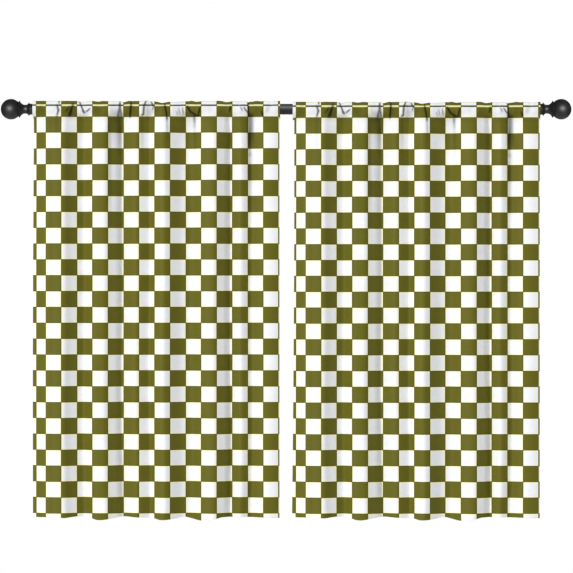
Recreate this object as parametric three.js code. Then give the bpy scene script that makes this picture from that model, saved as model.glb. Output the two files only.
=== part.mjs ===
// A pair of rod pocket blackout curtains hung on a round curtain rod with ball finials.
// Millimetres. The origin is the middle of the rod's axis, +X runs along the rod, +Z is up, and the
// printed face of the cloth looks towards -Y.
import * as THREE from "three";

// The rod is a tube, and each finial is a turned piece that plugs into its end.
const ROD = { radius: 17.5, bore: 16.3, halfLength: 832.5, sides: 48 };
const FINIAL = { joint: 0.3, plugRadius: 15.9, plugLength: 28, sides: 28 };

// A finial's outline outward from the tube's end: how far along the axis, and how far out from it.
const SLEEVE = { radius: 18.6, length: 8.5 };
const RING = { radius: 22.6, centre: 13.4, halfWidth: 4.2 };
const NECK = { radius: 14.9, centre: 27 };
const DISC = { radius: 28.4, centre: 44.2, halfWidth: 3 };
const BALL = { radius: 33.75, centre: 71.8 };

// The cloth. Distances across a panel start at the left edge of its first whole check. Its hems are
// turned to the back, so the cloth is thicker there.
const CLOTH = { thickness: 2, leftEdge: -41, rightEdge: 765.5 };
const HEMS = { height: -1339, deep: 38, side: 25, extra: 1, step: 1.5 };

// Where each panel hangs. Its header slumps by a little, its hem drops by a little, and its left edge
// swings from the first shift at the rod to the second one at the hem.
const PANELS = [
  { name: "curtain_left", x: -789.3, slump: 0, drop: 0, edgeAtRod: 1.3, edgeAtHem: -2.6 },
  { name: "curtain_right", x: 64.2, slump: 2.6, drop: 1, edgeAtRod: 4.4, edgeAtHem: -3.1 },
];

// Each row is the ridge or hollow of one fold: how far across the panel, and how far forward.
const FOLDS = [
  { across: -41, forward: -34 },
  { across: 38, forward: 15 },
  { across: 122, forward: -21 },
  { across: 181, forward: 18 },
  { across: 250, forward: -24 },
  { across: 301, forward: 5 },
  { across: 339, forward: -11 },
  { across: 387, forward: 23 },
  { across: 469, forward: -20 },
  { across: 549, forward: 21 },
  { across: 604, forward: -22 },
  { across: 640, forward: 3 },
  { across: 677, forward: -16 },
  { across: 729, forward: 6 },
  { across: 765.5, forward: -4 },
];
const STEPS_PER_FOLD = 4;

// The folds below the pocket: the middle of their depth, how soon they open out, how much more they
// open at the hem, how far they wander sideways, and how much lower their ridges reach at the hem.
const HANG = {
  middle: -14,
  opening: 80,
  pinched: 0.6,
  spreadAtHem: 0.05,
  sway: 3,
  swayLength: 820,
  edgeHeld: 50,
  hemDip: 0.22,
};
const BODY_HEIGHTS = [-1010, -660, -350, -170, -95, -50];

// The pocket is sewn shut under the rod and above its front. Angles around the rod are degrees from
// straight forward, over the top and down the back. Its front and back meet at the bottom seam on
// curves, each bent towards its own corner.
const POCKET = {
  bottomSeam: -24.6,
  topSeam: 13.1,
  frontRadius: 21.6,
  frontAngles: [-15, 13],
  frontCorner: { y: -15, z: -18, fromFold: 5 },
  frontSteps: [0.3, 0.62],
  backRadius: 20,
  backAngles: [68, 96, 124, 152, 180, 205],
  backCorner: { y: 8, z: -25 },
  backSteps: [0.25, 0.5, 0.75],
};
const HEADER = { height: 28, lean: 3.2, thickness: 3.2 };

// The cloth is bunched a little on the rod: small waves with their height and their length along it.
const GATHERS = [
  { depth: 1.4, length: 61, start: 10 },
  { depth: 0.8, length: 37, start: 4 },
];
const HEADER_RIPPLE = { out: 0.8, up: 1.1 };

const CHARCOAL = 0x232326;
const OLIVE_CHECK = 0xaaa883;

const half = CLOTH.thickness / 2;
const radians = THREE.MathUtils.degToRad;

// 0 at the first value, 1 at the second, with level ends.
function ease(from, to, value) {
  const t = THREE.MathUtils.clamp((value - from) / (to - from), 0, 1);
  return t * t * (3 - 2 * t);
}

// How far forward the folds stand at a distance across the panel: half a cosine wave between rows.
function foldForward(across) {
  const next = FOLDS.findIndex((fold) => fold.across > across);
  if (next === 0) return FOLDS[0].forward;
  if (next < 0) return FOLDS.at(-1).forward;
  const [a, b] = [FOLDS[next - 1], FOLDS[next]];
  const turn = Math.cos((Math.PI * (across - a.across)) / (b.across - a.across));
  return (a.forward + b.forward) / 2 + ((a.forward - b.forward) / 2) * turn;
}

function gather(across) {
  return GATHERS.reduce(
    (sum, wave) => sum + wave.depth * Math.sin((2 * Math.PI * (across - wave.start)) / wave.length),
    0,
  );
}

// Middle of the cloth's thickness below the pocket, as [y, z].
function hangingSheet(across, height) {
  const below = POCKET.bottomSeam - height;
  const whole = POCKET.bottomSeam - HEMS.height;
  const share = below / whole;
  const spread =
    THREE.MathUtils.lerp(HANG.pinched, 1, ease(0, HANG.opening, below)) + HANG.spreadAtHem * share;
  const wander = HANG.sway * Math.sin((2 * Math.PI * below) / HANG.swayLength + across / 200) * share;
  const inward = Math.min(across - CLOTH.leftEdge, CLOTH.rightEdge - across);
  const forward = foldForward(across + wander * ease(0, HANG.edgeHeld, inward)) * spread;
  return [HANG.middle - forward, height];
}

// Half the thickness measured straight back, so that the cloth stays as thick on a fold's flank.
function halfThrough(across, height) {
  const reach = 3;
  const rise = hangingSheet(across + reach, height)[0] - hangingSheet(across - reach, height)[0];
  return half * Math.hypot(1, rise / (2 * reach));
}

function onCircle(radius, degrees) {
  const angle = radians(degrees);
  return [-radius * Math.cos(angle), radius * Math.sin(angle)];
}

// Points at the given shares of a curve that leaves start and reaches end, bent towards corner.
function bent(start, corner, end, shares) {
  return shares.map((t) =>
    start.map((value, i) => (1 - t) ** 2 * value + 2 * t * (1 - t) * corner[i] + t * t * end[i]),
  );
}

// A line of [y, z] points moved to its right, square to itself, by a distance for each point.
function moved(line, distances) {
  return line.map(([y, z], i) => {
    const before = line[Math.max(i - 1, 0)];
    const after = line[Math.min(i + 1, line.length - 1)];
    const [dy, dz] = [after[0] - before[0], after[1] - before[1]];
    const share = distances[i] / Math.hypot(dy, dz);
    return [y + share * dz, z - share * dy];
  });
}

// One slice of a panel, square to the rod: the outline of the cloth and the outline of the pocket
// inside it, both as [y, z] and both the same way round. The front line runs up the middle of the
// cloth from the hem to the header, and the back line from there over the rod to the bottom seam.
function slice(across, panel) {
  const fold = foldForward(across);
  const deepest = Math.min(...FOLDS.slice(1).map((row) => row.forward));
  const hem = HEMS.height - panel.drop - HANG.hemDip * Math.max(0, fold - deepest);
  const bunch = gather(across);
  const slump = ([y, z]) => [y, z - panel.slump];

  const bodyHeights = [...BODY_HEIGHTS, POCKET.bottomSeam - panel.slump];
  const body = bodyHeights.map((height) => hangingSheet(across, height));
  const bottom = body.at(-1);
  const { y, z, fromFold } = POCKET.frontCorner;
  const wrap = POCKET.frontAngles.map((angle) => slump(onCircle(POCKET.frontRadius + bunch, angle)));
  const rise = bent(bottom, slump([Math.min(y, bottom[0] + fromFold), z]), wrap[0], POCKET.frontSteps);
  const seamZ = POCKET.topSeam - panel.slump;
  const seam = [-Math.sqrt(POCKET.backRadius ** 2 - seamZ ** 2), seamZ];
  const top = HEADER.height - panel.slump + HEADER_RIPPLE.up * bunch;
  const lean = HEADER.lean + HEADER_RIPPLE.out * bunch;
  const header = [
    [seam[0] + 0.3 * lean, (seamZ + top) / 2],
    [seam[0] + lean, top - HEADER.thickness / 2],
  ];
  const frontLine = [hangingSheet(across, hem), ...body, ...rise, ...wrap, seam, ...header];
  const over = POCKET.backAngles.map((angle) => onCircle(POCKET.backRadius, angle));
  const meeting = [bottom[0] + half, bottom[1] + half];
  const corner = slump([POCKET.backCorner.y, POCKET.backCorner.z]);
  const backLine = [...over, ...bent(over.at(-1), corner, meeting, POCKET.backSteps)];

  const through = [hem, ...bodyHeights].map((height) => halfThrough(across, height));
  const frontHalves = frontLine.map((_, i) => through[i] ?? half);
  const face = moved(frontLine, frontHalves.map((distance) => -distance));
  const headerBack = moved(frontLine, frontLine.map(() => HEADER.thickness - half)).slice(-2);
  const peak = [seam[0] + lean + HEADER.thickness / 2 - half, top];

  const inward = Math.min(across - CLOTH.leftEdge, CLOTH.rightEdge - across);
  const sideHem = inward < HEMS.side ? HEMS.extra : 0;
  const backHeights = [hem, hem + HEMS.deep, hem + HEMS.deep + HEMS.step, ...bodyHeights];
  const bodyBack = backHeights.map((height, i) => {
    const extra = i < 2 ? HEMS.extra : sideHem;
    return [hangingSheet(across, height)[0] + halfThrough(across, height) + extra, height];
  });

  const even = (line, distance) => moved(line, line.map(() => distance));
  const behind = [...even(backLine, -half), ...bodyBack.toReversed()];
  const outer = [...face, peak, ...headerBack.toReversed(), ...behind];
  const pocketFront = even(frontLine, half).slice(body.length + 1, -header.length);
  const pocketFoot = even(bent(bottom, bottom, rise[0], [0.6, 1]), half)[0];
  const inner = [pocketFoot, ...pocketFront, ...even(backLine, half)];
  return { outer, inner };
}

// The distances across a panel at which it is sliced: even steps of each fold, and the side hems' edges.
function sliceStations() {
  const stations = [
    CLOTH.leftEdge + HEMS.side - HEMS.step,
    CLOTH.leftEdge + HEMS.side,
    CLOTH.rightEdge - HEMS.side,
    CLOTH.rightEdge - HEMS.side + HEMS.step,
  ];
  for (let row = 1; row < FOLDS.length; row++) {
    const [a, b] = [FOLDS[row - 1].across, FOLDS[row].across];
    for (let step = 0; step < STEPS_PER_FOLD; step++) stations.push(a + ((b - a) * step) / STEPS_PER_FOLD);
  }
  stations.push(FOLDS.at(-1).across);
  return stations.toSorted((a, b) => a - b);
}

// Strips of triangles join each slice's outlines to the next slice's, and both end slices are closed
// by flat faces around the pocket's mouth.
function panelGeometry(panel) {
  const stations = sliceStations();
  const slices = stations.map((across) => slice(across, panel));
  const outerCount = slices[0].outer.length;
  const ringCount = outerCount + slices[0].inner.length;
  const positions = [];
  stations.forEach((across, i) => {
    for (const [y, z] of [...slices[i].outer, ...slices[i].inner]) {
      const down = THREE.MathUtils.clamp(z / HEMS.height, 0, 1);
      const swing = THREE.MathUtils.lerp(panel.edgeAtRod, panel.edgeAtHem, down);
      positions.push(panel.x + across + swing * (1 - ease(CLOTH.leftEdge, 0, across)), y, z);
    }
  });

  const index = [];
  const quad = (a, b, c, d) => index.push(a, b, c, a, c, d);
  for (let i = 0; i < stations.length - 1; i++) {
    const [here, there] = [i * ringCount, (i + 1) * ringCount];
    for (let j = 0; j < outerCount; j++) {
      const k = (j + 1) % outerCount;
      quad(here + j, there + j, there + k, here + k);
    }
    for (let j = outerCount; j < ringCount; j++) {
      const k = j + 1 < ringCount ? j + 1 : outerCount;
      quad(here + j, here + k, there + k, there + j);
    }
  }
  const endCap = (i, facesRight) => {
    const contour = slices[i].outer.map(([y, z]) => new THREE.Vector2(y, z));
    const hole = slices[i].inner.map(([y, z]) => new THREE.Vector2(y, z));
    for (const [a, b, c] of THREE.ShapeUtils.triangulateShape(contour, [hole])) {
      const base = i * ringCount;
      const [p, q, r] = [a, b, c].map((n) => slices[i].outer.concat(slices[i].inner)[n]);
      const turn = (q[0] - p[0]) * (r[1] - p[1]) - (q[1] - p[1]) * (r[0] - p[0]);
      if (turn > 0 === facesRight) index.push(base + a, base + b, base + c);
      else index.push(base + a, base + c, base + b);
    }
  };
  endCap(0, false);
  endCap(stations.length - 1, true);

  const geometry = new THREE.BufferGeometry();
  geometry.setAttribute("position", new THREE.Float32BufferAttribute(positions, 3));
  geometry.setIndex(index);
  geometry.computeVertexNormals();
  return geometry;
}

function rodGeometry() {
  const { radius, bore, halfLength, sides } = ROD;
  const wall = [
    [radius, -halfLength],
    [radius, halfLength],
    [bore, halfLength],
    [bore, -halfLength],
    [radius, -halfLength],
  ].map(([r, along]) => new THREE.Vector2(r, along));
  return new THREE.LatheGeometry(wall, sides);
}

// Points of a rounded rim: an arc of a circle squashed to the rim's half width.
function rim({ radius, centre, halfWidth }, depth, steps) {
  const points = [];
  for (let step = 0; step <= steps; step++) {
    const turn = (Math.PI * step) / steps;
    points.push([radius - depth + depth * Math.sin(turn), centre - halfWidth * Math.cos(turn)]);
  }
  return points;
}

// The finial is turned about its axis, from the plug inside the tube out to the end of the ball.
function finialGeometry() {
  const start = ROD.halfLength + FINIAL.joint;
  const waist = [];
  const waistFrom = RING.centre + RING.halfWidth;
  const waistTo = DISC.centre - DISC.halfWidth;
  for (let step = 1; step < 6; step++) {
    const along = THREE.MathUtils.lerp(waistFrom, waistTo, step / 6);
    const side = along < NECK.centre ? NECK.centre - waistFrom : waistTo - NECK.centre;
    const shoulder = along < NECK.centre ? RING.radius - 4 : DISC.radius - 4;
    const away = Math.abs(along - NECK.centre) / side;
    waist.push([NECK.radius + (shoulder - NECK.radius) * away * away, along]);
  }
  const joinAngle = Math.PI - Math.asin(24.6 / BALL.radius);
  const ball = [];
  for (let step = 0; step < 14; step++) {
    const angle = joinAngle * (1 - step / 14);
    ball.push([BALL.radius * Math.sin(angle), BALL.centre + BALL.radius * Math.cos(angle)]);
  }
  const outline = [
    [0, -FINIAL.plugLength],
    [FINIAL.plugRadius, -FINIAL.plugLength],
    [FINIAL.plugRadius, 0],
    [SLEEVE.radius, 0],
    [SLEEVE.radius, SLEEVE.length],
    ...rim(RING, 4, 5),
    ...waist,
    ...rim(DISC, 4, 5),
    ...ball,
    [0, BALL.centre + BALL.radius],
  ].map(([r, along]) => new THREE.Vector2(r, start + along));
  return new THREE.LatheGeometry(outline, FINIAL.sides);
}

function addMesh(group, name, geometry, color, roughness, metalness) {
  const mesh = new THREE.Mesh(geometry, new THREE.MeshStandardMaterial({ color, roughness, metalness }));
  mesh.name = name;
  group.add(mesh);
  return mesh;
}

const curtains = new THREE.Group();
const alongRod = -Math.PI / 2;

addMesh(curtains, "curtain_rod", rodGeometry(), CHARCOAL, 0.4, 0.6).rotation.z = alongRod;
addMesh(curtains, "finial_left", finialGeometry(), CHARCOAL, 0.35, 0.6).rotation.z = -alongRod;
addMesh(curtains, "finial_right", finialGeometry(), CHARCOAL, 0.35, 0.6).rotation.z = alongRod;
for (const panel of PANELS) addMesh(curtains, panel.name, panelGeometry(panel), OLIVE_CHECK, 0.9, 0);

export default curtains;
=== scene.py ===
import math

import bmesh
import bpy
import numpy as np
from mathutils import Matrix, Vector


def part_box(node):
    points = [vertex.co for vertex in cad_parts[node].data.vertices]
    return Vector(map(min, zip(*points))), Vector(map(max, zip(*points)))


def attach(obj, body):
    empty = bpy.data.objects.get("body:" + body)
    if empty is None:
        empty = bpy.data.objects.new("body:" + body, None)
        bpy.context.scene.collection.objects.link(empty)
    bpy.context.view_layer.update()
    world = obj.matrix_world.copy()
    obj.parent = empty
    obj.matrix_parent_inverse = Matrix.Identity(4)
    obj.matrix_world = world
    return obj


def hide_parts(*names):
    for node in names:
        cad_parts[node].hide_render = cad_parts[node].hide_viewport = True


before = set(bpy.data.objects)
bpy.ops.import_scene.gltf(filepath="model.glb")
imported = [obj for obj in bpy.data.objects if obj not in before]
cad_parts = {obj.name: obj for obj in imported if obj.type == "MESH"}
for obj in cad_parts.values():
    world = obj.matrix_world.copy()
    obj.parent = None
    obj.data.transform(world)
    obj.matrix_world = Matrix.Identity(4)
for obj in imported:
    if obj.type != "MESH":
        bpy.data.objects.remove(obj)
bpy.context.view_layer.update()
mm = 0.001
print("frame loaded:", ", ".join(sorted(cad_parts)))

# Camera: level, straight at the cloth through a long lens
camera = {
    "back": 16.0,  # m from the cloth
    "right": 0.0013,
    "up": -0.583,  # m from the rod's middle, so the curtains hang from near the top of the picture
    "shownWidth": 1.8842,  # m of cloth from side to side of the picture
    "sensor": 36.0,
    "sees": 60.0,  # m, beyond the end of the floor
}


def addCamera():
    data = bpy.data.cameras.new("camera")
    data.sensor_width = camera["sensor"]
    data.lens = camera["sensor"] * camera["back"] / camera["shownWidth"]
    data.dof.use_dof = False
    data.clip_end = camera["sees"]
    viewer = bpy.data.objects.new("camera", data)
    viewer.location = (camera["right"], -camera["back"], camera["up"])
    viewer.rotation_euler = (math.pi / 2, 0, 0)
    bpy.context.collection.objects.link(viewer)
    bpy.context.scene.camera = viewer


addCamera()


# Colours are written as sRGB hex and turned to linear: below 0.04045 a straight line, above it a power of 2.4
def linear(hexColour):
    channels = [int(hexColour[i : i + 2], 16) / 255 for i in (1, 3, 5)]
    return (*[c / 12.92 if c <= 0.04045 else ((c + 0.055) / 1.055) ** 2.4 for c in channels], 1.0)


# Adds one node. Settings go on the node; inputs are values, or sockets to link from
def addNode(tree, kind, inputs=None, **settings):
    node = tree.nodes.new(kind)
    for name, value in settings.items():
        setattr(node, name, value)
    for name, value in (inputs or {}).items():
        if isinstance(value, bpy.types.NodeSocket):
            tree.links.new(value, node.inputs[name])
        else:
            node.inputs[name].default_value = value
    return node


def newMaterial(name):
    material = bpy.data.materials.new(name)
    material.use_nodes = True
    material.node_tree.nodes.clear()
    return material, material.node_tree


def finishMaterial(tree, inputs):
    shader = addNode(tree, "ShaderNodeBsdfPrincipled", inputs)
    addNode(tree, "ShaderNodeOutputMaterial", {"Surface": shader.outputs["BSDF"]})


def uvMap(tree, name):
    return addNode(tree, "ShaderNodeUVMap", uv_map=name).outputs["UV"]


def objectPlace(tree):
    return addNode(tree, "ShaderNodeTexCoord").outputs["Object"]


def calculate(tree, operation, *values):
    return addNode(tree, "ShaderNodeMath", dict(enumerate(values)), operation=operation).outputs[0]


def remap(tree, value, limits, **settings):
    return addNode(tree, "ShaderNodeMapRange", {"Value": value, **limits}, **settings).outputs["Result"]


# Mixes two colours, each a hex text or a socket
def mixColours(tree, share, first, second):
    first, second = (linear(c) if isinstance(c, str) else c for c in (first, second))
    inputs = {0: share, 6: first, 7: second}
    return addNode(tree, "ShaderNodeMix", inputs, data_type="RGBA").outputs[2]


# Soft noise whose patches are so many mm wide
def noise(tree, place, size, detail, **inputs):
    inputs = {"Vector": place, "Scale": 1000 / size, "Detail": detail, **inputs}
    return addNode(tree, "ShaderNodeTexNoise", inputs).outputs["Fac"]


# Bands so many mm apart. At scale 1 the wave turns by 20 radians in a metre
def bands(tree, place, spacing, distortion, direction):
    inputs = {"Vector": place, "Scale": 2000 * math.pi / spacing / 20, "Distortion": distortion}
    return addNode(tree, "ShaderNodeTexWave", inputs, bands_direction=direction).outputs["Fac"]


def relief(tree, height, strength, depth):
    inputs = {"Height": height, "Strength": strength, "Distance": depth * mm}
    return addNode(tree, "ShaderNodeBump", inputs).outputs["Normal"]


# Printed polyester: a dense matt weave with the check printed on its face. The ink sits a little
# yellower along each edge of a white check and browner along each edge of an olive one.
printedCloth = {
    "olive": "#625f15",
    "oliveEdge": "#4f4f26",
    "white": "#ececed",
    "whiteEdge": "#f7f1b2",
    "check": 51.0,  # mm across one check
    "edge": 4.6,  # mm of softer ink beside a check's edge
    "bleed": 0.9,  # mm that the olive ink spreads over the edge of a white check
    "seamBand": 2.9,  # mm of the tuck on each side of the top seam, where the next row shows
    "patch": 26.316,  # mm across a fainter patch of the print
    "patchDetail": 3.0,
    "patchRough": 0.6,
    "patchFrom": 0.3,
    "patchTo": 0.7,
    "faintest": 0.955,
    "deepestCreaseShade": 0.16,  # share of the colour left under the deepest painted crease shade
    "threads": 1.6,  # mm from thread to thread, about four times the real spacing
    "slub": 1.1111,  # mm across a thicker spot of a thread
    "slubDetail": 2.0,
    "slubHeight": 0.8,
    "weaveDepth": 0.12,
    "weaveStrength": 0.35,
    "roughness": 0.55,
    "specular": 0.14,
}


def makePrintedCloth(seamAt):
    look = printedCloth
    material, tree = newMaterial("printedPolyester")
    metres = uvMap(tree, "cloth")
    check = addNode(tree, "ShaderNodeSeparateXYZ", {"Vector": uvMap(tree, "checks")})
    place = addNode(tree, "ShaderNodeSeparateXYZ", {"Vector": metres})
    checkX, checkY = check.outputs["X"], check.outputs["Y"]

    # Olive where the column and the row add up to an odd number
    band = calculate(tree, "COMPARE", place.outputs["Y"], seamAt, look["seamBand"] * mm)
    column = calculate(tree, "FLOOR", checkX)
    row = calculate(tree, "FLOOR", checkY)
    counted = calculate(tree, "ADD", calculate(tree, "ADD", column, row), band)
    isOlive = calculate(tree, "PINGPONG", counted, 1.0)

    # The way to the nearest edge, less than 0 where the olive ink has spread into a white check
    bleed = look["bleed"] / look["check"]
    sideways = calculate(tree, "PINGPONG", checkX, 0.5)
    upright = calculate(tree, "PINGPONG", checkY, 0.5)
    nearest = calculate(tree, "MINIMUM", sideways, upright)
    spread = calculate(tree, "MULTIPLY_ADD", isOlive, 2 * bleed, -bleed)
    fromInk = calculate(tree, "ADD", nearest, spread)
    inked = calculate(tree, "MAXIMUM", isOlive, calculate(tree, "LESS_THAN", fromInk, 0.0))
    away = calculate(tree, "ABSOLUTE", fromInk)
    reach = {"From Max": look["edge"] / look["check"]}
    reached = remap(tree, away, reach, interpolation_type="SMOOTHSTEP")
    inside = calculate(tree, "MULTIPLY", reached, calculate(tree, "SUBTRACT", 1.0, band))
    white = mixColours(tree, inside, look["whiteEdge"], look["white"])
    olive = mixColours(tree, inside, look["oliveEdge"], look["olive"])
    ink = mixColours(tree, inked, white, olive)

    patches = noise(tree, metres, look["patch"], look["patchDetail"], Roughness=look["patchRough"])
    limits = {"From Min": look["patchFrom"], "From Max": look["patchTo"], "To Min": look["faintest"]}
    shade = remap(tree, patches, limits)
    # Painted shade: the crease attribute darkens the ink in the creases, the pocket and the header, and along
    # the top seam's tuck and the header's rim
    pressed = addNode(tree, "ShaderNodeAttribute", attribute_name="crease").outputs["Fac"]
    paintedShadeFactor = remap(tree, pressed, {"To Min": 1.0, "To Max": look["deepestCreaseShade"]})
    inkAndPaintedShade = {0: ink, "Scale": calculate(tree, "MULTIPLY", shade, paintedShadeFactor)}
    colour = addNode(tree, "ShaderNodeVectorMath", inkAndPaintedShade, operation="SCALE")

    turn = math.pi / (look["threads"] * mm)
    warp = calculate(tree, "SINE", calculate(tree, "MULTIPLY", place.outputs["X"], turn))
    weft = calculate(tree, "SINE", calculate(tree, "MULTIPLY", place.outputs["Y"], turn))
    weave = calculate(tree, "MULTIPLY", warp, weft)
    slubs = noise(tree, metres, look["slub"], look["slubDetail"])
    surface = calculate(tree, "MULTIPLY_ADD", slubs, look["slubHeight"], weave)
    shader = {
        "Base Color": colour.outputs["Vector"],
        "Roughness": look["roughness"],
        "Specular IOR Level": look["specular"],
        "Normal": relief(tree, surface, look["weaveStrength"], look["weaveDepth"]),
    }
    finishMaterial(tree, shader)
    return material


# Blackout coating: the back is foamed acrylic, smooth, matt and a little grey.
coatedBack = {
    "colour": "#dddcd8",
    "thin": "#d3d2cd",
    "patch": 45.455,  # mm
    "patchDetail": 4.0,
    "grain": 2.4,  # mm
    "grainDetail": 2.0,
    "grainStrength": 0.2,
    "grainDepth": 0.1,
    "roughness": 0.72,
    "specular": 0.35,
}


def makeCoatedBack():
    material, tree = newMaterial("foamedAcrylicCoating")
    metres = uvMap(tree, "cloth")
    patches = noise(tree, metres, coatedBack["patch"], coatedBack["patchDetail"])
    grain = noise(tree, metres, coatedBack["grain"], coatedBack["grainDetail"])
    shader = {
        "Base Color": mixColours(tree, patches, coatedBack["thin"], coatedBack["colour"]),
        "Roughness": coatedBack["roughness"],
        "Specular IOR Level": coatedBack["specular"],
        "Normal": relief(tree, grain, coatedBack["grainStrength"], coatedBack["grainDepth"]),
    }
    finishMaterial(tree, shader)
    return material


# Sewing thread: twisted polyester, a little glossier than the cloth.
thread = {
    "colour": "#b9b592",
    "shade": "#9d9876",
    "twist": 5.655,  # mm
    "distortion": 1.0,
    "roughness": 0.5,
    "sheen": 0.2,
    "diameter": 0.34,
    "stitch": 2.8,
    "gap": 1.0,
    "fromEdge": 2.0,  # mm from a hem's edge to its stitches
    "lift": 0.1,  # mm above the cloth
    "reach": (-0.5, -0.36, 0.36, 0.5),  # where each ring of a stitch lies, as a share of its length
    "girth": (0.3, 1, 1, 0.3),
    "sink": (-0.35, 0, 0, -0.35),
    "sides": 5,
}


def makeThread():
    material, tree = newMaterial("polyesterSewingThread")
    strands = bands(tree, objectPlace(tree), thread["twist"], thread["distortion"], "DIAGONAL")
    shader = {
        "Base Color": mixColours(tree, strands, thread["shade"], thread["colour"]),
        "Roughness": thread["roughness"],
        "Sheen Weight": thread["sheen"],
    }
    finishMaterial(tree, shader)
    return material


# Paint on metal: two near tones in clouds, and a relief that the height gives
def finishPaint(tree, place, paint, height):
    cloudy = noise(tree, place, paint["cloud"], paint["cloudDetail"])
    shader = {
        "Base Color": mixColours(tree, cloudy, paint["colour"], paint["thin"]),
        "Roughness": remap(tree, cloudy, {"To Min": paint["smoothest"], "To Max": paint["roughest"]}),
        "Normal": relief(tree, height, paint["strength"], paint["depth"]),
    }
    finishMaterial(tree, shader)


# Black powder coat on the steel rod: satin, with the faint orange peel of baked powder. The real peel
# is about a millimetre wide and shallow.
powderCoat = {
    "colour": "#08080a",
    "thin": "#0e0e10",
    "cloud": 33.333,  # mm
    "cloudDetail": 3.0,
    "smoothest": 0.52,
    "roughest": 0.62,
    "peel": 1.4,  # mm
    "peelDetail": 1.5,
    "strength": 0.12,
    "depth": 0.1,
}


def makePowderCoat():
    material, tree = newMaterial("blackPowderCoat")
    place = objectPlace(tree)
    peel = noise(tree, place, powderCoat["peel"], powderCoat["peelDetail"])
    finishPaint(tree, place, powderCoat, peel)
    return material


# Satin black enamel on the cast finials: smoother than the rod, with faint rings left by turning.
enamel = {
    "colour": "#070708",
    "thin": "#0e0e0f",
    "cloud": 16.667,  # mm
    "cloudDetail": 4.0,
    "smoothest": 0.44,
    "roughest": 0.54,
    "rings": 11.31,  # mm
    "distortion": 0.6,
    "strength": 0.05,
    "depth": 0.1,
}


def makeEnamel():
    material, tree = newMaterial("satinBlackEnamel")
    place = objectPlace(tree)
    rings = bands(tree, place, enamel["rings"], enamel["distortion"], "X")
    finishPaint(tree, place, enamel, rings)
    return material


def addObject(name, mesh, materials):
    for material in materials:
        mesh.materials.append(material)
    mesh.shade_smooth()
    piece = bpy.data.objects.new(name, mesh)
    bpy.context.collection.objects.link(piece)
    return piece


# Joins rows of points into a mesh. A face looks to the side from which its columns run right while
# its rows run up. Maps are uv coordinates of the same shape as the grid.
def gridObject(name, points, materials, maps=None, values=None, closedRows=False):
    rows, columns = points.shape[:2]
    number = np.arange(rows * columns).reshape(rows, columns)
    if closedRows:
        number = np.concatenate([number, number[:, :1]], axis=1)
    corners = np.stack([number[:-1, :-1], number[:-1, 1:], number[1:, 1:], number[1:, :-1]], axis=-1)
    corners = corners.reshape(-1, 4)
    mesh = bpy.data.meshes.new(name)
    mesh.from_pydata(points.reshape(-1, 3), [], corners)
    for mapName, grid in (maps or {}).items():
        layer = mesh.uv_layers.new(name=mapName)
        layer.data.foreach_set("uv", grid.reshape(-1, 2)[corners.ravel()].ravel().astype(np.float32))
    for valueName, grid in (values or {}).items():
        attribute = mesh.attributes.new(valueName, "FLOAT", "POINT")
        attribute.data.foreach_set("value", grid.ravel().astype(np.float32))
    mesh.update()
    return addObject(name, mesh, materials)


# Turns every face outward, and first joins points that lie closer together than the weld in mm
def closeMesh(mesh, weld=0):
    work = bmesh.new()
    work.from_mesh(mesh)
    if weld:
        bmesh.ops.remove_doubles(work, verts=work.verts, dist=weld * mm)
    bmesh.ops.recalc_face_normals(work, faces=work.faces)
    work.to_mesh(mesh)
    work.free()


# 0 at the low value, 1 at the high one, and level at both ends: t squared times 3 - 2t
def ease(low, high, value):
    t = np.clip((value - low) / (high - low), 0, 1)
    return t * t * (3 - 2 * t)


def addedUp(steps):
    return np.concatenate([[0], np.cumsum(steps)])


def unit(vectors):
    return vectors / np.linalg.norm(vectors, axis=-1, keepdims=True)


# The cloth, in mm. Across starts at the left edge of the first whole check; heights are above the
# rod's middle; forward is towards the viewer.
cloth = {
    "thickness": 0.8,
    "layer": 1.1,  # from the middle of one layer of a hem to the next
    "leftEdge": -41.0,
    "leftSwings": -28.0,  # right of here the cloth keeps its place when the left edge swings
    "rightEdge": 768.2,
    "rightSwings": 758.0,
    "solidEdge": 765.5,  # where the modelled solid ends
    "hemHeight": -1339.0,
    "hemDeep": 38.0,
    "sideHem": 25.0,
    "hemStep": (-1.0, 4.0),  # about a side hem's edge, where its extra layer runs out
    "columns": 308,
    "hemRows": 5,
    "longRows": 50,
    "fineRows": 24,
    "fineAbove": -170.0,  # height from which the rows stand closer
    "softened": 3,  # rows under the bottom seam that are smoothed, and how often
    "lastColumn": 15,  # the print's column at the right edge
    "flatWidth": 1.015,  # m, with the side hems let out
    "flatLength": 1.512,  # m, with the pocket and the hem let out
}
panels = [
    {
        "name": "curtain_left", "slump": 0.0, "drop": 0.0, "edgeAtPocket": -3.4, "rightEdge": -1.4,
        "lastCheck": 0.6, "edgeAtRod": 1.3, "edgeAtHem": -2.6, "bow": -2.0, "row": 52.115,
    },
    {
        "name": "curtain_right", "slump": 3.2, "drop": 1.0, "edgeAtPocket": -5.0, "rightEdge": 0.4,
        "lastCheck": 0.7, "edgeAtRod": 4.4, "edgeAtHem": -3.1, "bow": 2.4, "row": 52.03,
    },
]
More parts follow.
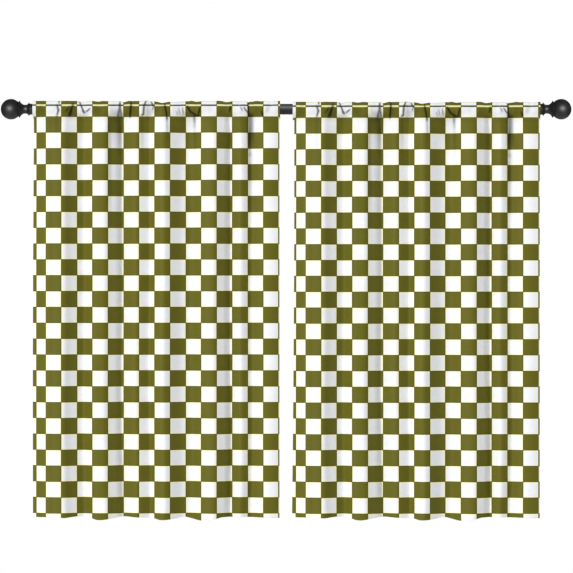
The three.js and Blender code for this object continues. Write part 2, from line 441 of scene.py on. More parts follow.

# The line of the folds, given point by point. Each ridge falls away to its right into a deeper hollow,
# and two small ridges stand beside the deepest hollows.
folds = np.array(
    [
        (-41, -34), (-30, -22), (-10, -3), (8, 6), (20, 8), (32, 11.5), (42, 14), (50, 15), (58, 14),
        (65, 11), (72, 5.5), (81, -1.5), (93, -9), (106, -16), (117, -20.5), (124, -21), (130, -18),
        (137, -11), (145, -1.5), (153, 7.5), (160, 13), (168, 15.5), (177, 17), (187, 18), (194, 17.5),
        (201, 14), (209, 8), (218, 1.5), (227, -4.5), (236, -12), (244, -20.5), (250, -24),
        (256, -21.5), (266, -14.5), (276, -6), (286, 1), (294, 4.5), (301, 5), (308, 2.5), (319, -3),
        (331, -9), (339, -11.5), (345, -9), (352, -2.5), (360, 5.5), (369, 14), (377, 20), (385, 23),
        (392, 22.5), (399, 19), (409, 12), (420, 3.5), (432, -5.5), (442, -12), (454, -17), (466, -20),
        (475, -19.5), (483, -16.5), (491, -10.5), (501, -2), (511, 6), (521, 12), (532, 17), (544, 20),
        (553, 20.5), (560, 17.5), (569, 11), (578, 4), (587, -3), (594, -11.5), (600, -19.5),
        (604, -21.5), (609, -19), (617, -11.5), (626, -5), (633, 0.5), (640, 2.5), (647, 0.5),
        (656, -5), (665, -11.5), (672, -16), (678, -16.5), (685, -13.5), (692, -8), (701, -1.5),
        (710, 3), (722, 5.5), (736, 6), (752, 3), (768.2, -3.5),
    ],
    [("across", float), ("forward", float)],
)
hang = {
    "middle": -14.0,
    "opening": 55.0,  # mm below the pocket over which the folds open out
    "pinched": 0.6,
    "spreadAtHem": 0.05,
    "sway": 3.0,
    "swayLength": 820.0,
    "swayDrift": 200.0,
    "edgeHeld": 50.0,
    "hemReach": 300.0,
}

# How far the hem hangs below its highest level along the panel: lowest where the folds come forward
hemDrops = np.array(
    [
        (-41, 0), (-14, 0.5), (25, 2.8), (64, 3.4), (80, 1.4), (101, -1), (128, -1), (153, 5),
        (166, 9.4), (182, 10.2), (198, 8.2), (229, 3), (242, 0.4), (262, -1), (300, 1.8), (330, 2.8),
        (346, 2.2), (360, 5.6), (373, 9.6), (387, 9.8), (402, 9), (430, 4.8), (447, 0.8), (462, 0.6),
        (485, 6.8), (497, 10), (512, 12.3), (540, 12), (557, 7), (577, 1.4), (605, 0.6), (650, 0.6),
        (700, 1.6), (768.2, 2.4),
    ],
    [("across", float), ("drop", float)],
)
pocket = {
    "bottomSeam": -25.0,
    "topSeam": 11.9,
    "frontRadius": 21.6,
    "frontAngles": (-15, -1, 13),  # degrees, up the front
    "frontCorner": (-15.0, -18.0),  # forward of which the cloth bends up from the bottom seam
    "cornerBehind": 5.0,
    "frontShares": (0.3, 0.62),
    "backRadius": 20.0,
    "backAngles": (52, 68, 96, 124, 152, 180, 205),  # degrees, over the rod and down its back
    "backCorner": (8.0, -25.0),
    "backShares": (0.25, 0.5, 0.75),
    "rodClearance": 0.7,  # from the rod to the middle of the cloth
    "headerTop": 28.0,
    "lean": 3.2,
    "bunchedLean": 0.8,
    "halfwayLean": 0.35,
    "rim": 0.4,
    "rimRound": 0.5,
    "seamStep": (0.4, 0.8),  # from the top seam to the same seam behind
    "meetingStep": 1.0,
    "allowance": 8.0,
    "shaded": 0.12,  # painted shade that darkens the colour of the pocket and header between their gathers
    "shadeFades": 26.0,  # mm below the bottom seam over which that painted shade fades out
    # a painted shadow line along the top seam's tuck, and painted shade along the header's top rim
    "tuckShade": 0.2,
    "rimShade": 0.12,
    "drawnOut": 3.0,  # at the right end of the pocket
    "drawnFrom": 752.0,
    "drawnOver": 0.6,
}
gathers = np.array(
    [(1.4, 61, 10), (0.8, 37, 4), (0.4, 17, 3)],
    [("depth", float), ("length", float), ("start", float)],
)

# How high the header stands along the panel
headerTops = np.array(
    [
        (-41, 27.4), (25, 27.3), (42, 27.5), (51, 26.9), (64, 27.4), (100, 27.3), (110, 25.6),
        (119, 23.8), (127, 25), (133, 27.2), (153, 27.2), (160, 26.6), (166, 25.4), (173, 24.7),
        (178, 25.6), (186, 26.9), (193, 26.8), (204, 26.5), (212, 27), (246, 27), (251, 24.4),
        (257, 22.8), (262, 24.2), (268, 26.3), (274, 27.5), (283, 26.7), (305, 27.1), (334, 28.4),
        (340, 27.2), (350, 25.8), (359, 25.4), (367, 24.2), (371, 23.3), (376, 20.9), (381, 20.4),
        (386, 20.9), (393, 22.2), (400, 23.8), (410, 24.4), (418, 23.6), (430, 24.1), (442, 24.6),
        (448, 26.2), (470, 26.3), (477, 27.4), (482, 27.2), (487, 25.8), (492, 24.6), (497, 24.5),
        (508, 25.6), (515, 26.8), (551, 27), (562, 27.5), (572, 27.6), (577, 27.1), (582, 25.8),
        (587, 24.1), (592, 23.2), (598, 23.4), (603, 24.3), (612, 26.2), (628, 26.6), (633, 24.8),
        (636, 24.6), (641, 26.6), (655, 26.8), (661, 25), (664, 21.4), (668, 23.6), (672, 24.8),
        (677, 24.3), (681, 25.1), (686, 26.7), (692, 27.1), (699, 26.7), (705, 25.8), (713, 26.4),
        (724, 27.5), (732, 26.2), (739, 24.8), (747, 24.8), (755, 27), (768.2, 27.3),
    ],
    [("across", float), ("height", float)],
)

# Creases pressed into the pocket and header where the cloth is bunched: each runs from one place to
# another, so many mm wide, and so many mm deep where it starts and where it ends. Each also darkens
# the cloth's colour with painted shade, the more the deeper and narrower it is.
creases = np.array(
    [
        (43, 27, 44, 19, 2.0, 2.4, 2.4), (37, 13, 42, -4, 3.0, 2.8, 3.4),
        (42, -4, 37, -22, 3.0, 3.4, 2.2), (91, 18, 79, -20, 3.6, 3.4, 3.4),
        (77, 7, 67, -8, 3.4, 2.6, 2.6), (111, 23, 126, -11, 2.4, 3.2, 3.2),
        (145, 1, 134, -9, 2.4, 2.6, 2.6), (244, 22, 243, 10, 2.6, 3.2, 3.2),
        (243, 8, 237, -24, 3.4, 2.4, 2.4), (245, 8, 249, -24, 3.4, 2.4, 2.4),
        (281, 22, 280, 9, 2.4, 3.2, 3.2), (280, 9, 277, -26, 2.6, 3.6, 3.6),
        (329, 25, 323, 12, 2.2, 2.8, 2.8), (323, 12, 321, -17, 2.8, 3.2, 3.2),
        (321, -17, 315, -20, 2.4, 2.0, 2.0), (347, 22, 354, 10, 2.2, 2.8, 2.8),
        (354, 8, 351, -2, 2.2, 1.4, 1.4), (391, 15, 396, -10, 2.4, 3.4, 3.4),
        (396, -10, 399, -34, 2.4, 3.4, 3.4), (399, -34, 402, -110, 3.6, 2.0, 0.2),
        (449, 4, 452, -16, 2.4, 1.6, 1.4), (437, 3, 441, -18, 2.0, 0.9, 1.0),
        (430, -8, 433, -21, 2.0, 1.0, 0.8), (465, 9, 476, -9, 2.6, 3.4, 3.0),
        (476, -9, 495, -21, 2.4, 3.0, 3.2), (495, -22, 508, -22, 2.0, 2.4, 1.6),
        (507, 4, 501, -20, 2.4, 2.8, 2.8), (488, -22, 489, -56, 4.0, 3.4, 1.6),
        (489, -56, 490, -190, 5.0, 1.6, 0.0), (607, 9, 604, -8, 2.4, 2.6, 2.6),
        (651, 5, 663, -12, 2.0, 2.6, 2.6), (640, 6, 647, -6, 2.0, 1.4, 1.4),
        (664, 23, 667, -22, 2.6, 3.4, 3.4), (668, -20, 671, -150, 7.0, 6.6, 3.4),
        (677, -22, 679, -120, 6.0, 4.6, 1.6), (671, -150, 674, -380, 8.0, 3.8, 0.0),
        (38, -24, 38, -170, 8.0, 1.8, 0.2), (210, -24, 213, -420, 7.0, 2.8, 0.2),
        (243, -24, 245, -170, 8.0, 4.0, 0.6), (318, -24, 319, -190, 7.0, 2.4, 0.2),
        (710, -8, 714, -22, 2.4, 2.8, 2.8), (733, 6, 731, -8, 7.0, 1.6, 1.6),
        (81, -8, 78, -22, 8.0, 3.0, 3.0), (455, -26, 459, -110, 12.0, 3.0, 0.6),
        (228, 6, 230, -24, 16.0, 3.6, 4.4), (230, -24, 230, -110, 17.0, 4.6, 0.6),
        (338, 10, 339, -20, 13.0, 4.4, 4.4), (436, 8, 440, -22, 15.0, 2.8, 2.4),
        (478, -24, 482, -90, 13.0, 2.4, 0.4), (90, 6, 84, -20, 12.0, 2.0, 2.0),
        (570, -4, 590, -22, 12.0, 1.6, 1.6), (121, -5, 127, -12, 3.4, 3.6, 4.4),
    ],
    [(name, float) for name in ("across", "height", "toAcross", "toHeight", "width", "depth", "toDepth")],
)

# The sharp creases are pressed in harder than they were placed, to a tenth of a millimetre. The last
# row has its full size already.
sharp = {"narrowerThan": 4.5, "deeperThan": 1.3, "wider": 1.18, "deeper": 1.25}
placed = creases[:-1]
isSharp = (placed["width"] < sharp["narrowerThan"]) & (placed["depth"] > sharp["deeperThan"])
for name, times in (("width", "wider"), ("depth", "deeper"), ("toDepth", "deeper")):
    placed[name][isSharp] = np.round(placed[name][isSharp] * sharp[times], 1)

# How far across the panel each column of the print starts. The first two are turned back with the
# edge, so they look narrower, and a hair of the last one shows at the right edge.
printColumns = np.array(
    [(-82.3, -2), (-31.3, -1), (0, 0), (714.4, 14), (764.1, 15), (815.1, 16)],
    [("across", float), ("check", float)],
)


# A cubic curve through the fold line, its slope at each place being that between the two neighbours
def foldForward(across):
    places, depths = folds["across"], folds["forward"]
    slopes = np.gradient(depths, places)
    row = np.clip(np.searchsorted(places, across, side="right") - 1, 0, len(folds) - 2)
    step = places[row + 1] - places[row]
    t = np.clip((across - places[row]) / step, 0, 1)
    leaving = (2 * t + 1) * (1 - t) ** 2 * depths[row] + t * (1 - t) ** 2 * step * slopes[row]
    arriving = t * t * (3 - 2 * t) * depths[row + 1] - t * t * (1 - t) * step * slopes[row + 1]
    return leaving + arriving


# The sum of the small waves in which the cloth is bunched on the rod
def bunching(across):
    waves = [g["depth"] * np.sin(2 * math.pi * (across - g["start"]) / g["length"]) for g in gathers]
    return np.sum(waves, axis=0)


# Middle of the hanging cloth: the folds, pinched under the pocket and wandering a little further down
def hangingDepth(across, height):
    below = pocket["bottomSeam"] - height
    share = below / (pocket["bottomSeam"] - cloth["hemHeight"])
    opened = ease(0, hang["opening"], below)
    spread = hang["pinched"] + (1 - hang["pinched"]) * opened + hang["spreadAtHem"] * share
    phase = 2 * math.pi * below / hang["swayLength"] + across / hang["swayDrift"]
    wander = hang["sway"] * np.sin(phase) * share
    inward = np.minimum(across - cloth["leftEdge"], cloth["rightEdge"] - across)
    return hang["middle"] - foldForward(across + wander * ease(0, hang["edgeHeld"], inward)) * spread


# A sum of soft troughs with raised lips, and the painted shade darkening each. Near a crease's line
# the trough is its depth there times e to the minus q, less a third of that with q / 6, where q is the
# square of the distance over its width. The depth swells by half a sine wave, from 0.6 of itself at
# the ends.
def creaseDepth(across, height):
    total = np.zeros(np.broadcast(across, height).shape)
    shade = np.zeros(total.shape)
    for crease in creases:
        runAcross = crease["toAcross"] - crease["across"]
        runUp = crease["toHeight"] - crease["height"]
        along = (across - crease["across"]) * runAcross + (height - crease["height"]) * runUp
        held = np.clip(along / (runAcross**2 + runUp**2), 0, 1)
        aside = across - crease["across"] - held * runAcross
        above = height - crease["height"] - held * runUp
        depth = crease["depth"] + held * (crease["toDepth"] - crease["depth"])
        depth = depth * (0.6 + 0.4 * np.sin(math.pi * held))
        q = (aside**2 + above**2) / crease["width"] ** 2
        total += depth * (np.exp(-q) - np.exp(-q / 6) / 3)
        # painted shade: each crease darkens the cloth's colour, more where it is deep and narrow
        shade += depth / crease["width"] * np.exp(-q)
    return total, np.clip(shade, 0, 1)


# Where the columns of the grid stand: closer together beside the creases, and one on each place
# where the print or a hem starts
crowding = {"samples": 4000, "reach": 12.0, "most": 1.6}


def columnPlaces():
    left, right = cloth["leftEdge"], cloth["rightEdge"]
    fine = np.linspace(left, right, crowding["samples"])
    middles = (creases["across"] + creases["toAcross"]) / 2
    beside = np.exp(-(((fine[:, None] - middles) / crowding["reach"]) ** 2)).sum(axis=1)
    crowd = 1 + beside.clip(max=crowding["most"])
    counted = addedUp((crowd[1:] + crowd[:-1]) / 2)
    places = np.interp(np.linspace(0, counted[-1], cloth["columns"]), counted, fine)
    for place in (left + cloth["sideHem"], right - cloth["sideHem"], *printColumns["across"][1:-1]):
        places[np.abs(places - place).argmin()] = place
    return places


def fromAngle(radius, degrees):
    angle = math.radians(degrees)
    return np.stack(np.broadcast_arrays(-radius * math.cos(angle), radius * math.sin(angle)), axis=-1)


# A point at share t of the curve that leaves start and reaches end, bent towards corner:
# (1 - t) squared of start, 2t(1 - t) of corner and t squared of end
def bent(start, corner, end, t):
    return (1 - t) ** 2 * start + 2 * t * (1 - t) * corner + t * t * end


# The points of the route below at which something starts or ends
routeMarks = {"seam": 0, "front": 5, "topSeam": 6, "top": 8, "back": 12, "meeting": -2}


# The cloth's way round the rod for each column, as [y, z]: up the pocket's front, up the header, down
# behind it, over the rod and down its back to the bottom seam. Each point has the number of rows
# that lead to it.
def pocketRoute(across, sideHem, slump):
    lowered = np.array([0, -slump])
    bunch = bunching(across)
    stack = cloth["layer"] * (1 + 2 * sideHem)
    back = np.stack([stack, np.zeros_like(stack)], axis=-1)
    zeros = np.zeros_like(across)

    seamHeight = pocket["bottomSeam"] - slump
    bottom = np.stack([hangingDepth(across, seamHeight), zeros + seamHeight], axis=-1)
    front = [fromAngle(pocket["frontRadius"] + bunch, a) + lowered for a in pocket["frontAngles"]]
    cornerForward, cornerHeight = pocket["frontCorner"]
    cornerForward = np.minimum(cornerForward, bottom[:, 0] + pocket["cornerBehind"])
    corner = np.stack([cornerForward, zeros + cornerHeight - slump], axis=-1)
    topHeight = pocket["topSeam"] - slump
    seamDepth = math.sqrt(pocket["backRadius"] ** 2 - topHeight**2)
    seam = np.stack([cloth["layer"] - stack - seamDepth, zeros + topHeight], axis=-1)
    top = np.interp(across, headerTops["across"], headerTops["height"]) - slump
    lean = pocket["lean"] + pocket["bunchedLean"] * bunch
    middle = seam + np.stack([pocket["halfwayLean"] * lean, (top - topHeight) / 2], axis=-1)
    headerTop = seam + np.stack([lean, top - topHeight - pocket["rim"]], axis=-1)
    seamBack = seam + back + np.array(pocket["seamStep"])

    route = [(bottom, 0)]
    route += [(bent(bottom, corner, front[0], t), 3) for t in pocket["frontShares"]]
    route += [(front[0], 3), (front[1], 3), (front[2], 3), (seam, 4), (middle, 3), (headerTop, 3)]
    route += [(headerTop + back / 2 + (0, pocket["rimRound"]), 1), (headerTop + back, 1)]
    route += [(middle + back, 3), (seamBack, 3)]
    route += [(fromAngle(pocket["backRadius"] + zeros, angle), 3) for angle in pocket["backAngles"]]
    meeting = bottom + back + (0, pocket["meetingStep"])
    backCorner = np.array(pocket["backCorner"]) + lowered
    route += [(bent(route[-1][0], backCorner, meeting, t), 2) for t in pocket["backShares"]]
    route += [(meeting, 2), (meeting - (0, pocket["allowance"]), 2)]
    return route


# Fills in the rows between the points of a route, in straight even steps
def fillRoute(route):
    rows = [route[0][0][None]]
    for (start, _), (end, steps) in zip(route, route[1:]):
        share = np.arange(1, steps + 1)[:, None, None] / steps
        rows.append(start + (end - start) * share)
    return np.concatenate(rows)


# Each inner row moves to a quarter of the row before, half of itself and a quarter of the row after
def smoothRows(grid, first, times):
    for _ in range(times):
        grid[first:-1] = 0.25 * grid[first - 1 : -2] + 0.5 * grid[first:-1] + 0.25 * grid[first + 1 :]
    return grid


# The turned strip of a hem repeats the first rows backwards, one layer behind, with a rolled edge of
# three rows between. Returns which rows to repeat, how many layers back each lies, and how far each
# rolls out past the edge in layers.
def turnedHem(count):
    angles = np.radians([30, 90, 150])
    order = np.concatenate([np.arange(count, -1, -1), [0, 0, 0]])
    layers = np.concatenate([np.ones(count + 1), (1 + np.cos(angles)) / 2])
    out = np.concatenate([np.zeros(count + 1), np.sin(angles) / 2])
    return order, layers, out


# The whole panel before its hems are turned: the middle of the cloth as a grid of points in mm, rows
# from the hem up, with what the print, the stitching and the hems need to know.
def flatPanel(panel):
    across = columnPlaces()
    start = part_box(panel["name"])[1].x / mm - cloth["solidEdge"]
    inward = np.minimum(across - cloth["leftEdge"], cloth["rightEdge"] - across)
    sideHem = 1 - ease(*(cloth["sideHem"] + np.array(cloth["hemStep"])), inward)

    hem, hemTop = cloth["hemHeight"], cloth["hemHeight"] + cloth["hemDeep"]
    seam = pocket["bottomSeam"] - panel["slump"]
    levels = np.concatenate(
        [
            np.linspace(hem, hemTop, cloth["hemRows"] + 1),
            np.linspace(hemTop, cloth["fineAbove"], cloth["longRows"])[1:],
            np.linspace(cloth["fineAbove"], seam, cloth["fineRows"])[1:-1],
        ]
    )[:, None]
    dip = -panel["drop"] - np.interp(across, hemDrops["across"], hemDrops["drop"])
    height = levels + dip * (1 - ease(hemTop, hem + hang["hemReach"], levels))
    body = np.stack([hangingDepth(across, height), height], axis=-1)
    route = pocketRoute(across, sideHem, panel["slump"])
    steps = np.cumsum([rows for _, rows in route]) + len(body)
    rowAt = {name: int(steps[mark]) for name, mark in routeMarks.items()}
    section = np.concatenate([body, fillRoute(route)])
    section = smoothRows(section, len(body) - cloth["softened"], cloth["softened"])

    down = np.clip(section[..., 1] / hem, 0, 1)
    swing = panel["edgeAtRod"] + (panel["edgeAtHem"] - panel["edgeAtRod"]) * down
    swing += panel["bow"] * np.sin(math.pi * down)
    swing[len(body) + 1 :] += panel["edgeAtPocket"]
    x = start + across + swing * (1 - ease(cloth["leftEdge"], cloth["leftSwings"], across))
    x += panel["rightEdge"] * ease(cloth["rightSwings"], cloth["rightEdge"], across)
    points = np.concatenate([x[..., None], section], axis=-1)
    outward = unit(np.cross(np.gradient(points, axis=1), np.gradient(points, axis=0)))

    # Creases press the front, the header's back and the cloth under the bottom seam together
    row = np.arange(len(points))[:, None]
    isFront = row <= rowAt["top"]
    # shade is the creases' painted shade, which later darkens the cloth's colour
    pressed, shade = creaseDepth(across, section[..., 1] + panel["slump"])
    points[..., 1] += pressed * ((row <= rowAt["back"]) | (row >= rowAt["meeting"] - 1))

    # Nothing comes nearer to the rod than the layers between allow
    stack = cloth["layer"] * (1 + 2 * sideHem) * ((row > rowAt["front"]) & isFront)
    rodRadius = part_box("curtain_rod")[1].z / mm
    radius = rodRadius + pocket["rodClearance"] + cloth["layer"] * sideHem + stack
    away = np.hypot(points[..., 1], points[..., 2])
    points[..., 1:] *= np.maximum(1, radius / away)[..., None]

    width = addedUp(np.linalg.norm(np.diff(points[len(body) // 2], axis=0), axis=1))
    length = addedUp(np.linalg.norm(np.diff(section, axis=0), axis=-1).mean(axis=1))

    # At the right end of the pocket a little more of the last column shows, drawn out by the gathers
    pulled = pocket["drawnOut"] * ease(pocket["drawnFrom"], cloth["rightEdge"], across)
    pulled = pulled * (row > rowAt["seam"] + 2)
    isLast = printColumns["check"] == cloth["lastColumn"]
    starts = printColumns["across"] + panel["lastCheck"] * isLast
    checkAcross = np.interp(across, starts, printColumns["check"]) + pulled / printedCloth["check"]
    points[..., 0] += pocket["drawnOver"] * pulled

    headerHeight = pocket["headerTop"] - pocket["bottomSeam"]
    fromTop = (pocket["headerTop"] - panel["slump"] - section[..., 1]) / headerHeight
    below = 1 + (seam - section[..., 1]) / panel["row"]
    checkDown = np.where(section[..., 1] > seam, fromTop, below)
    behind = checkDown[rowAt["top"]] - (length - length[rowAt["top"]])[:, None] / panel["row"]
    # Painted shade: the pocket and header are darkened in colour, fading out below the bottom seam, with
    # painted shade lines along the top seam's tuck and the header's rim
    shade += pocket["shaded"] * (1 - ease(0, pocket["shadeFades"], seam - section[..., 1]))
    shade += pocket["tuckShade"] * (row == rowAt["topSeam"])
    shade += pocket["rimShade"] * (np.abs(row - rowAt["top"]) <= 1)
    return {
        "points": points, "outward": outward, "sideHem": sideHem, "across": across, "width": width,
        "length": length, "checkAcross": checkAcross, "checkDown": np.where(isFront, checkDown, behind),
        "crease": np.clip(shade, 0, 1) * isFront, "rowAt": rowAt,
    }


def nearestColumn(flat, place):
    return int(np.abs(flat["across"] - place).argmin())


# Past an edge the print and the weave run on, so a turned strip counts on from the edge
def runOn(values, edge, turned):
    return np.where(turned, 2 * edge - values, values)


# Turns the hems: the cloth's grid with its side strips and bottom strip folded behind, four layers
# thick where the two hems cross.
def turnHems(flat):
    points, outward = flat["points"], flat["outward"]
    rowOrder, rowLayers, rowOut = turnedHem(cloth["hemRows"])
    rows = len(points)
    rowOrder = np.concatenate([rowOrder, np.arange(rows)])
    rowLayers = np.concatenate([rowLayers, np.zeros(rows)])[:, None]
    rowOut = np.concatenate([rowOut, np.zeros(rows)])[:, None]

    columns = len(flat["across"])
    last = columns - 1
    leftCount = nearestColumn(flat, cloth["leftEdge"] + cloth["sideHem"])
    rightCount = last - nearestColumn(flat, cloth["rightEdge"] - cloth["sideHem"])
    leftOrder, leftLayers, leftOut = turnedHem(leftCount)
    rightOrder, rightLayers, rightOut = turnedHem(rightCount)
    columnOrder = np.concatenate([leftOrder, np.arange(columns), last - rightOrder[::-1]])
    columnLayers = np.concatenate([leftLayers, np.zeros(columns), rightLayers[::-1]])
    columnOut = np.concatenate([-leftOut, np.zeros(columns), rightOut[::-1]])
    turnedLeft = np.arange(len(columnOrder)) < len(leftOrder)
    turnedRight = np.arange(len(columnOrder)) >= len(leftOrder) + columns

    pick = np.ix_(rowOrder, columnOrder)
    side = flat["sideHem"][columnOrder]
    layers = rowLayers * (1 + 2 * side) + columnLayers * (1 - 2 * rowLayers)
    placed = points[pick] - outward[pick] * (layers * cloth["layer"])[..., None]
    placed[..., 0] += columnOut * cloth["layer"]
    placed[..., 2] -= rowOut * (1 + 2 * side) * cloth["layer"]

    checkAcross, width = flat["checkAcross"][rowOrder], flat["width"]
    u = runOn(checkAcross[:, columnOrder], checkAcross[:, :1], turnedLeft)
    u = runOn(u, checkAcross[:, -1:], turnedRight)
    s = runOn(runOn(width[columnOrder], width[0], turnedLeft), width[-1], turnedRight)
    turnedUp = (np.arange(len(rowOrder)) < len(rowOrder) - rows)[:, None]
    v = runOn(flat["checkDown"][pick], flat["checkDown"][0][columnOrder], turnedUp)
    p = runOn(flat["length"][rowOrder][:, None], flat["length"][0], turnedUp)
    shape = (*placed.shape[:2], 2)
    checks = np.stack(np.broadcast_arrays(u, v), axis=-1)
    metres = np.stack(np.broadcast_arrays(s * mm, p * mm), axis=-1)
    return {
        "points": placed * mm,
        "checks": np.broadcast_to(checks, shape),
        "metres": np.broadcast_to(metres, shape),
        "crease": flat["crease"][pick],
    }


def alongLine(at, run, vectors):
    return np.stack([np.interp(at, run, column) for column in vectors.T], axis=-1)


# Stitches along a line: each is a short rounded bar laid along the line and lifted onto the cloth,
# with a thinner ring at each end.
def stitchesAlong(line, outward):
    ahead = np.diff(line, axis=0)
    run = addedUp(np.linalg.norm(ahead, axis=1))
    count = int(run[-1] // (thread["stitch"] + thread["gap"]))
    at = (np.arange(count) + 0.5) * run[-1] / count
    centre = alongLine(at, run, line)[:, None, None]
    lift = unit(alongLine(at, run, outward))
    direction = unit(alongLine(at, (run[1:] + run[:-1]) / 2, ahead))
    aside = np.cross(direction, lift)

    sides = thread["sides"]
    turn = np.arange(sides) * 2 * math.pi / sides
    reach = np.array(thread["reach"])[:, None, None] * thread["stitch"]
    size = np.array(thread["girth"])[:, None] * thread["diameter"] / 2
    sink = np.array(thread["sink"])[:, None] * thread["diameter"]
    points = (
        centre
        + direction[:, None, None] * reach
        + lift[:, None, None] * (size * np.sin(turn) + sink)[..., None]
        + aside[:, None, None] * (size * np.cos(turn))[..., None]
    )
    number = np.arange(reach.size * sides).reshape(-1, sides)
    following = np.roll(number, -1, axis=1)
    walls = np.stack([number[:-1], following[:-1], following[1:], number[1:]], axis=-1).reshape(-1, 4)
    ends = np.array([np.roll(number[0][::-1], 1), number[-1]])
    shift = (np.arange(count) * number.size)[:, None, None]
    return points.reshape(-1, 3), (walls + shift).reshape(-1, 4), (ends + shift).reshape(-1, sides)


def stitching(name, lines, material):
    points, faces, total = [], [], 0
    for line, outward in lines:
        made, walls, ends = stitchesAlong(line, outward)
        points.append(made)
        faces += (walls + total).tolist() + (ends + total).tolist()
        total += len(made)
    mesh = bpy.data.meshes.new(name)
    mesh.from_pydata(np.concatenate(points) * mm, [], faces)
    closeMesh(mesh)
    return addObject(name, mesh, [material])


# The seams of the pocket go through to the front. The hems are blind stitched, on the back only.
def seamLines(flat):
    points, outward, rowAt = flat["points"], flat["outward"], flat["rowAt"]
    face = cloth["thickness"] / 2 + thread["lift"]
    behindHem = cloth["layer"] + face
    lines = []
    for mark in ("seam", "topSeam", "back", "meeting"):
        row = rowAt[mark]
        lines.append((points[row] + outward[row] * face, outward[row]))
    hemRow = cloth["hemRows"]
    lines.append((points[hemRow] - outward[hemRow] * behindHem, -outward[hemRow]))
    inset = cloth["sideHem"] - thread["fromEdge"]
    rows = slice(hemRow, rowAt["seam"])
    for place in (cloth["leftEdge"] + inset, cloth["rightEdge"] - inset):
        column = nearestColumn(flat, place)
        lines.append((points[rows, column] - outward[rows, column] * behindHem, -outward[rows, column]))
    return lines


def addPanel(panel, coat, threadMaterial):
    flat = flatPanel(panel)
    made = turnHems(flat)
    printed = makePrintedCloth(float(flat["length"][flat["rowAt"]["topSeam"]] * mm))
    # The crease attribute carries the painted shade of the creases, pocket, header, tuck and rim to the
    # printed colour
    piece = gridObject(
        panel["name"] + "_cloth",
        made["points"],
        [printed, coat],
        {"checks": made["checks"], "cloth": made["metres"]},
        {"crease": made["crease"]},
    )
    thicken = piece.modifiers.new("thickness", "SOLIDIFY")
    thicken.thickness = cloth["thickness"] * mm
    thicken.offset = 0
    thicken.material_offset = 1

    seams = stitching(panel["name"] + "_stitching", seamLines(flat), threadMaterial)
    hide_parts(panel["name"])
    for item in (piece, seams):
        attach(item, "root")
    print(panel["name"], "sewn:", len(piece.data.polygons), "faces,", len(seams.data.polygons), "in stitches")


coat = makeCoatedBack()
threadMaterial = makeThread()
for panel in panels:
    addPanel(panel, coat, threadMaterial)


# A turned piece along the rod: a profile of [radius, along] carried round the X axis. The ends of a
# profile that starts and stops on the axis are drawn together.
def turnedPiece(name, profile, shape, material):
    angle = np.arange(shape["sides"]) * 2 * math.pi / shape["sides"]
    radius, along = profile[:, 0, None], profile[:, 1, None]
    rings = np.broadcast_arrays(along, -radius * np.cos(angle), radius * np.sin(angle))
    piece = gridObject(name, np.stack(rings, axis=-1) * mm, [material], closedRows=True)
    closeMesh(piece.data, shape["weld"])
    piece.data.shade_smooth()
    piece.data.set_sharp_from_angle(angle=math.radians(shape["sharpFrom"]))
    return piece


# The rod is a plain tube with rounded lips at its ends.
rod = {"wall": 1.2, "lip": 0.5, "sides": 96, "weld": 0.01, "sharpFrom": 40}


def addRod(material):
    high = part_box("curtain_rod")[1]
    outer, half = high.z / mm, high.x / mm
    inner, lip = outer - rod["wall"], rod["lip"]
    profile = np.array(
        [
            (inner, -half), (outer - lip, -half), (outer, -half + lip), (outer, 0),
            (outer, half - lip), (outer - lip, half), (inner, half), (inner, 0), (inner, -half),
        ]
    )
    piece = turnedPiece("rod_tube", profile, rod, material)
    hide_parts("curtain_rod")
    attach(piece, "root")
    print("rod turned")
    return piece


# A finial: its plug slides into the tube, and a ball ends it
finial = {
    "joint": 0.3,
    "ballRadius": 33.75,
    "ballAt": 71.8,
    "ballFoot": 24.4,  # radius at which the ball starts
    "ballRows": 40,
    "sides": 96,
    "weld": 0.01,
    "sharpFrom": 50,
}

# Its outline up to the ball, outward from the tube's end in mm: each row is a place, the corner that
# the line bends towards on its way there, and the steps of that bend. A straight line has one step.
finialOutline = np.array(
    [
        (0, -28, 0, -28, 1),  # the plug's end
        (14.9, -28, 14.9, -28, 1),
        (15.9, -27, 15.9, -27, 1),
        (15.9, 0, 15.9, 0, 1),  # the sleeve
        (17.5, 0, 17.5, 0, 1),
        (18, 0.5, 18, 0.5, 1),
        (18, 8.2, 18, 8.2, 1),
        (22, 12.1, 18.6, 11.6, 6),  # the sharp ring
        (22.4, 12.8, 22.4, 12.8, 1),
        (22, 13.5, 22, 13.5, 1),
        (15.1, 19.5, 17, 15.4, 8),  # the waisted neck
        (14.7, 29, 14.1, 24, 6),
        (27.9, 43.1, 17.8, 38.3, 12),  # the sharp disc
        (28.4, 43.8, 28.4, 43.8, 1),
        (27.9, 44.5, 27.9, 44.5, 1),
        (23.4, 48.6, 24.6, 46, 6),  # the groove under the ball
    ],
    [("radius", float), ("along", float), ("cornerRadius", float), ("cornerAlong", float), ("steps", int)],
)


def finialProfile():
    places = np.stack([finialOutline["radius"], finialOutline["along"]], axis=-1)
    corners = np.stack([finialOutline["cornerRadius"], finialOutline["cornerAlong"]], axis=-1)
    profile = [places[:1]]
    for start, corner, end, steps in zip(places, corners[1:], places[1:], finialOutline["steps"][1:]):
        t = np.linspace(0, 1, steps + 1)[1:, None]
        profile.append(bent(start, corner, end, t))
    radius = finial["ballRadius"]
    angles = np.linspace(math.pi - math.asin(finial["ballFoot"] / radius), 0, finial["ballRows"])
    profile.append(np.stack([radius * np.sin(angles), finial["ballAt"] + radius * np.cos(angles)], axis=-1))
    return np.concatenate(profile)


def addFinial(name, side, material):
    profile = finialProfile()
    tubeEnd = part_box("curtain_rod")[1].x / mm + finial["joint"]
    profile[:, 1] = (profile[:, 1] + tubeEnd) * side
    piece = turnedPiece(name + "_turned", profile, finial, material)
    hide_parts(name)
    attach(piece, "root")
    print(name, "turned")
    return piece


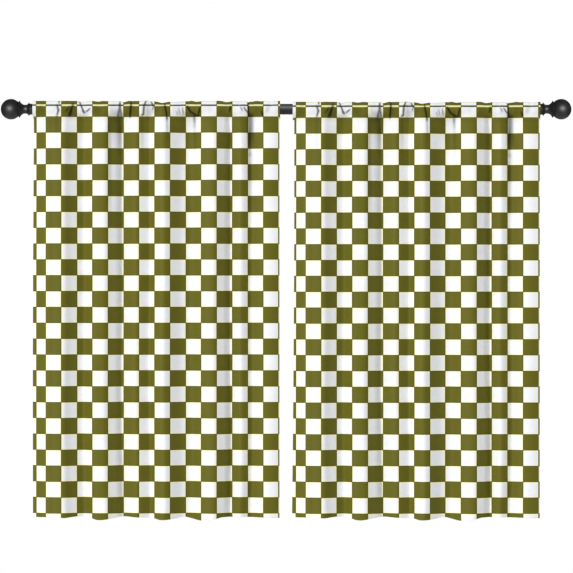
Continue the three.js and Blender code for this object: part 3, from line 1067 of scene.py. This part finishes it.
tube = addRod(makePowderCoat())
enamelMaterial = makeEnamel()
leftFinial = addFinial("finial_left", -1, enamelMaterial)
rightFinial = addFinial("finial_right", 1, enamelMaterial)


# The floor is pale and far below the hem.
floor = {
    "height": -2.25,
    "half": 3.2,
    "cells": 8,
    "colour": "#eceae6",
    "thin": "#e6e4df",
    "patch": 333.33,  # mm
    "patchDetail": 4.0,
    "roughness": 0.7,
}


def addFloor():
    material, tree = newMaterial("palePaintedFloor")
    cloudy = noise(tree, objectPlace(tree), floor["patch"], floor["patchDetail"])
    colour = mixColours(tree, cloudy, floor["thin"], floor["colour"])
    finishMaterial(tree, {"Base Color": colour, "Roughness": floor["roughness"]})
    side = np.linspace(-floor["half"], floor["half"], floor["cells"] + 1)
    x, y = np.meshgrid(side, side)
    ground = gridObject("floor", np.stack([x, y, np.full_like(x, floor["height"])], axis=-1), [material])


# Soft studio light. A broad far key from the left in front models the folds and is flagged off the
# black metal, which has small lamps of its own: one above the gap between the curtains draws the
# highlight along the rod, and one beyond each end puts a round highlight on its ball. The white
# surroundings fill the rest, and look dark in the metal, as a studio does behind its camera.
key = {"at": (-28.3, -28.3, 5.2), "towards": (0, 0, -0.65), "size": (8.0, 8.0), "watts": 8900}
overRod = {"at": (0, -1.4, 1.22), "towards": (0, 0, 0), "size": (1.0, 1.0), "watts": 62}
besideLeft = {"at": (-1.36, -1.8, 0.26), "towards": (-0.9, 0, 0), "size": (1.2, 0.7), "watts": 64}
besideRight = {"at": (1.36, -1.8, 0.26), "towards": (0.9, 0, 0), "size": (1.2, 0.7), "watts": 64}
surroundings = {"seen": 1.0, "fill": 0.91, "mirrored": 0.16, "tint": "#f4f6fb", "plain": "#ffffff"}


# The lamp lights only the pieces, or everything but them
def addLamp(name, light, pieces, only=True):
    data = bpy.data.lights.new(name, "AREA")
    data.shape = "ELLIPSE"
    data.size, data.size_y = light["size"]
    data.energy = light["watts"]
    lamp = bpy.data.objects.new(name, data)
    lamp.location = light["at"]
    aim = np.array(light["towards"]) - np.array(light["at"])
    level = math.hypot(aim[0], aim[1])
    lamp.rotation_euler = (math.atan2(level, -aim[2]), 0, math.atan2(aim[1], aim[0]) - math.pi / 2)
    lamp.visible_camera = False
    bpy.context.collection.objects.link(lamp)

    group = bpy.data.collections.new(name + "_flags")
    for piece in pieces:
        group.objects.link(piece)
    for member in group.collection_objects:
        member.light_linking.link_state = "INCLUDE" if only else "EXCLUDE"
    lamp.light_linking.receiver_collection = group


# The camera sees plain white, while the cloth and the metal get the dimmer fill
def addSurroundings():
    world = bpy.data.worlds.new("studio")
    bpy.context.scene.world = world
    world.use_nodes = True
    tree = world.node_tree
    tree.nodes.clear()
    ray = addNode(tree, "ShaderNodeLightPath")
    limits = {"To Min": surroundings["fill"], "To Max": surroundings["mirrored"]}
    strength = remap(tree, ray.outputs["Is Glossy Ray"], limits)
    tint, plain = linear(surroundings["tint"]), linear(surroundings["plain"])
    fill = addNode(tree, "ShaderNodeBackground", {"Color": tint, "Strength": strength})
    seen = addNode(tree, "ShaderNodeBackground", {"Color": plain, "Strength": surroundings["seen"]})
    shaders = {0: ray.outputs["Is Camera Ray"], 1: fill.outputs[0], 2: seen.outputs[0]}
    mixed = addNode(tree, "ShaderNodeMixShader", shaders)
    addNode(tree, "ShaderNodeOutputWorld", {"Surface": mixed.outputs[0]})
    bpy.context.scene.view_settings.view_transform = "Standard"


addFloor()
addLamp("key", key, [tube, leftFinial, rightFinial], only=False)
addLamp("overRod", overRod, [tube])
addLamp("besideLeft", besideLeft, [leftFinial])
addLamp("besideRight", besideRight, [rightFinial])
addSurroundings()
print("floor and lights placed")
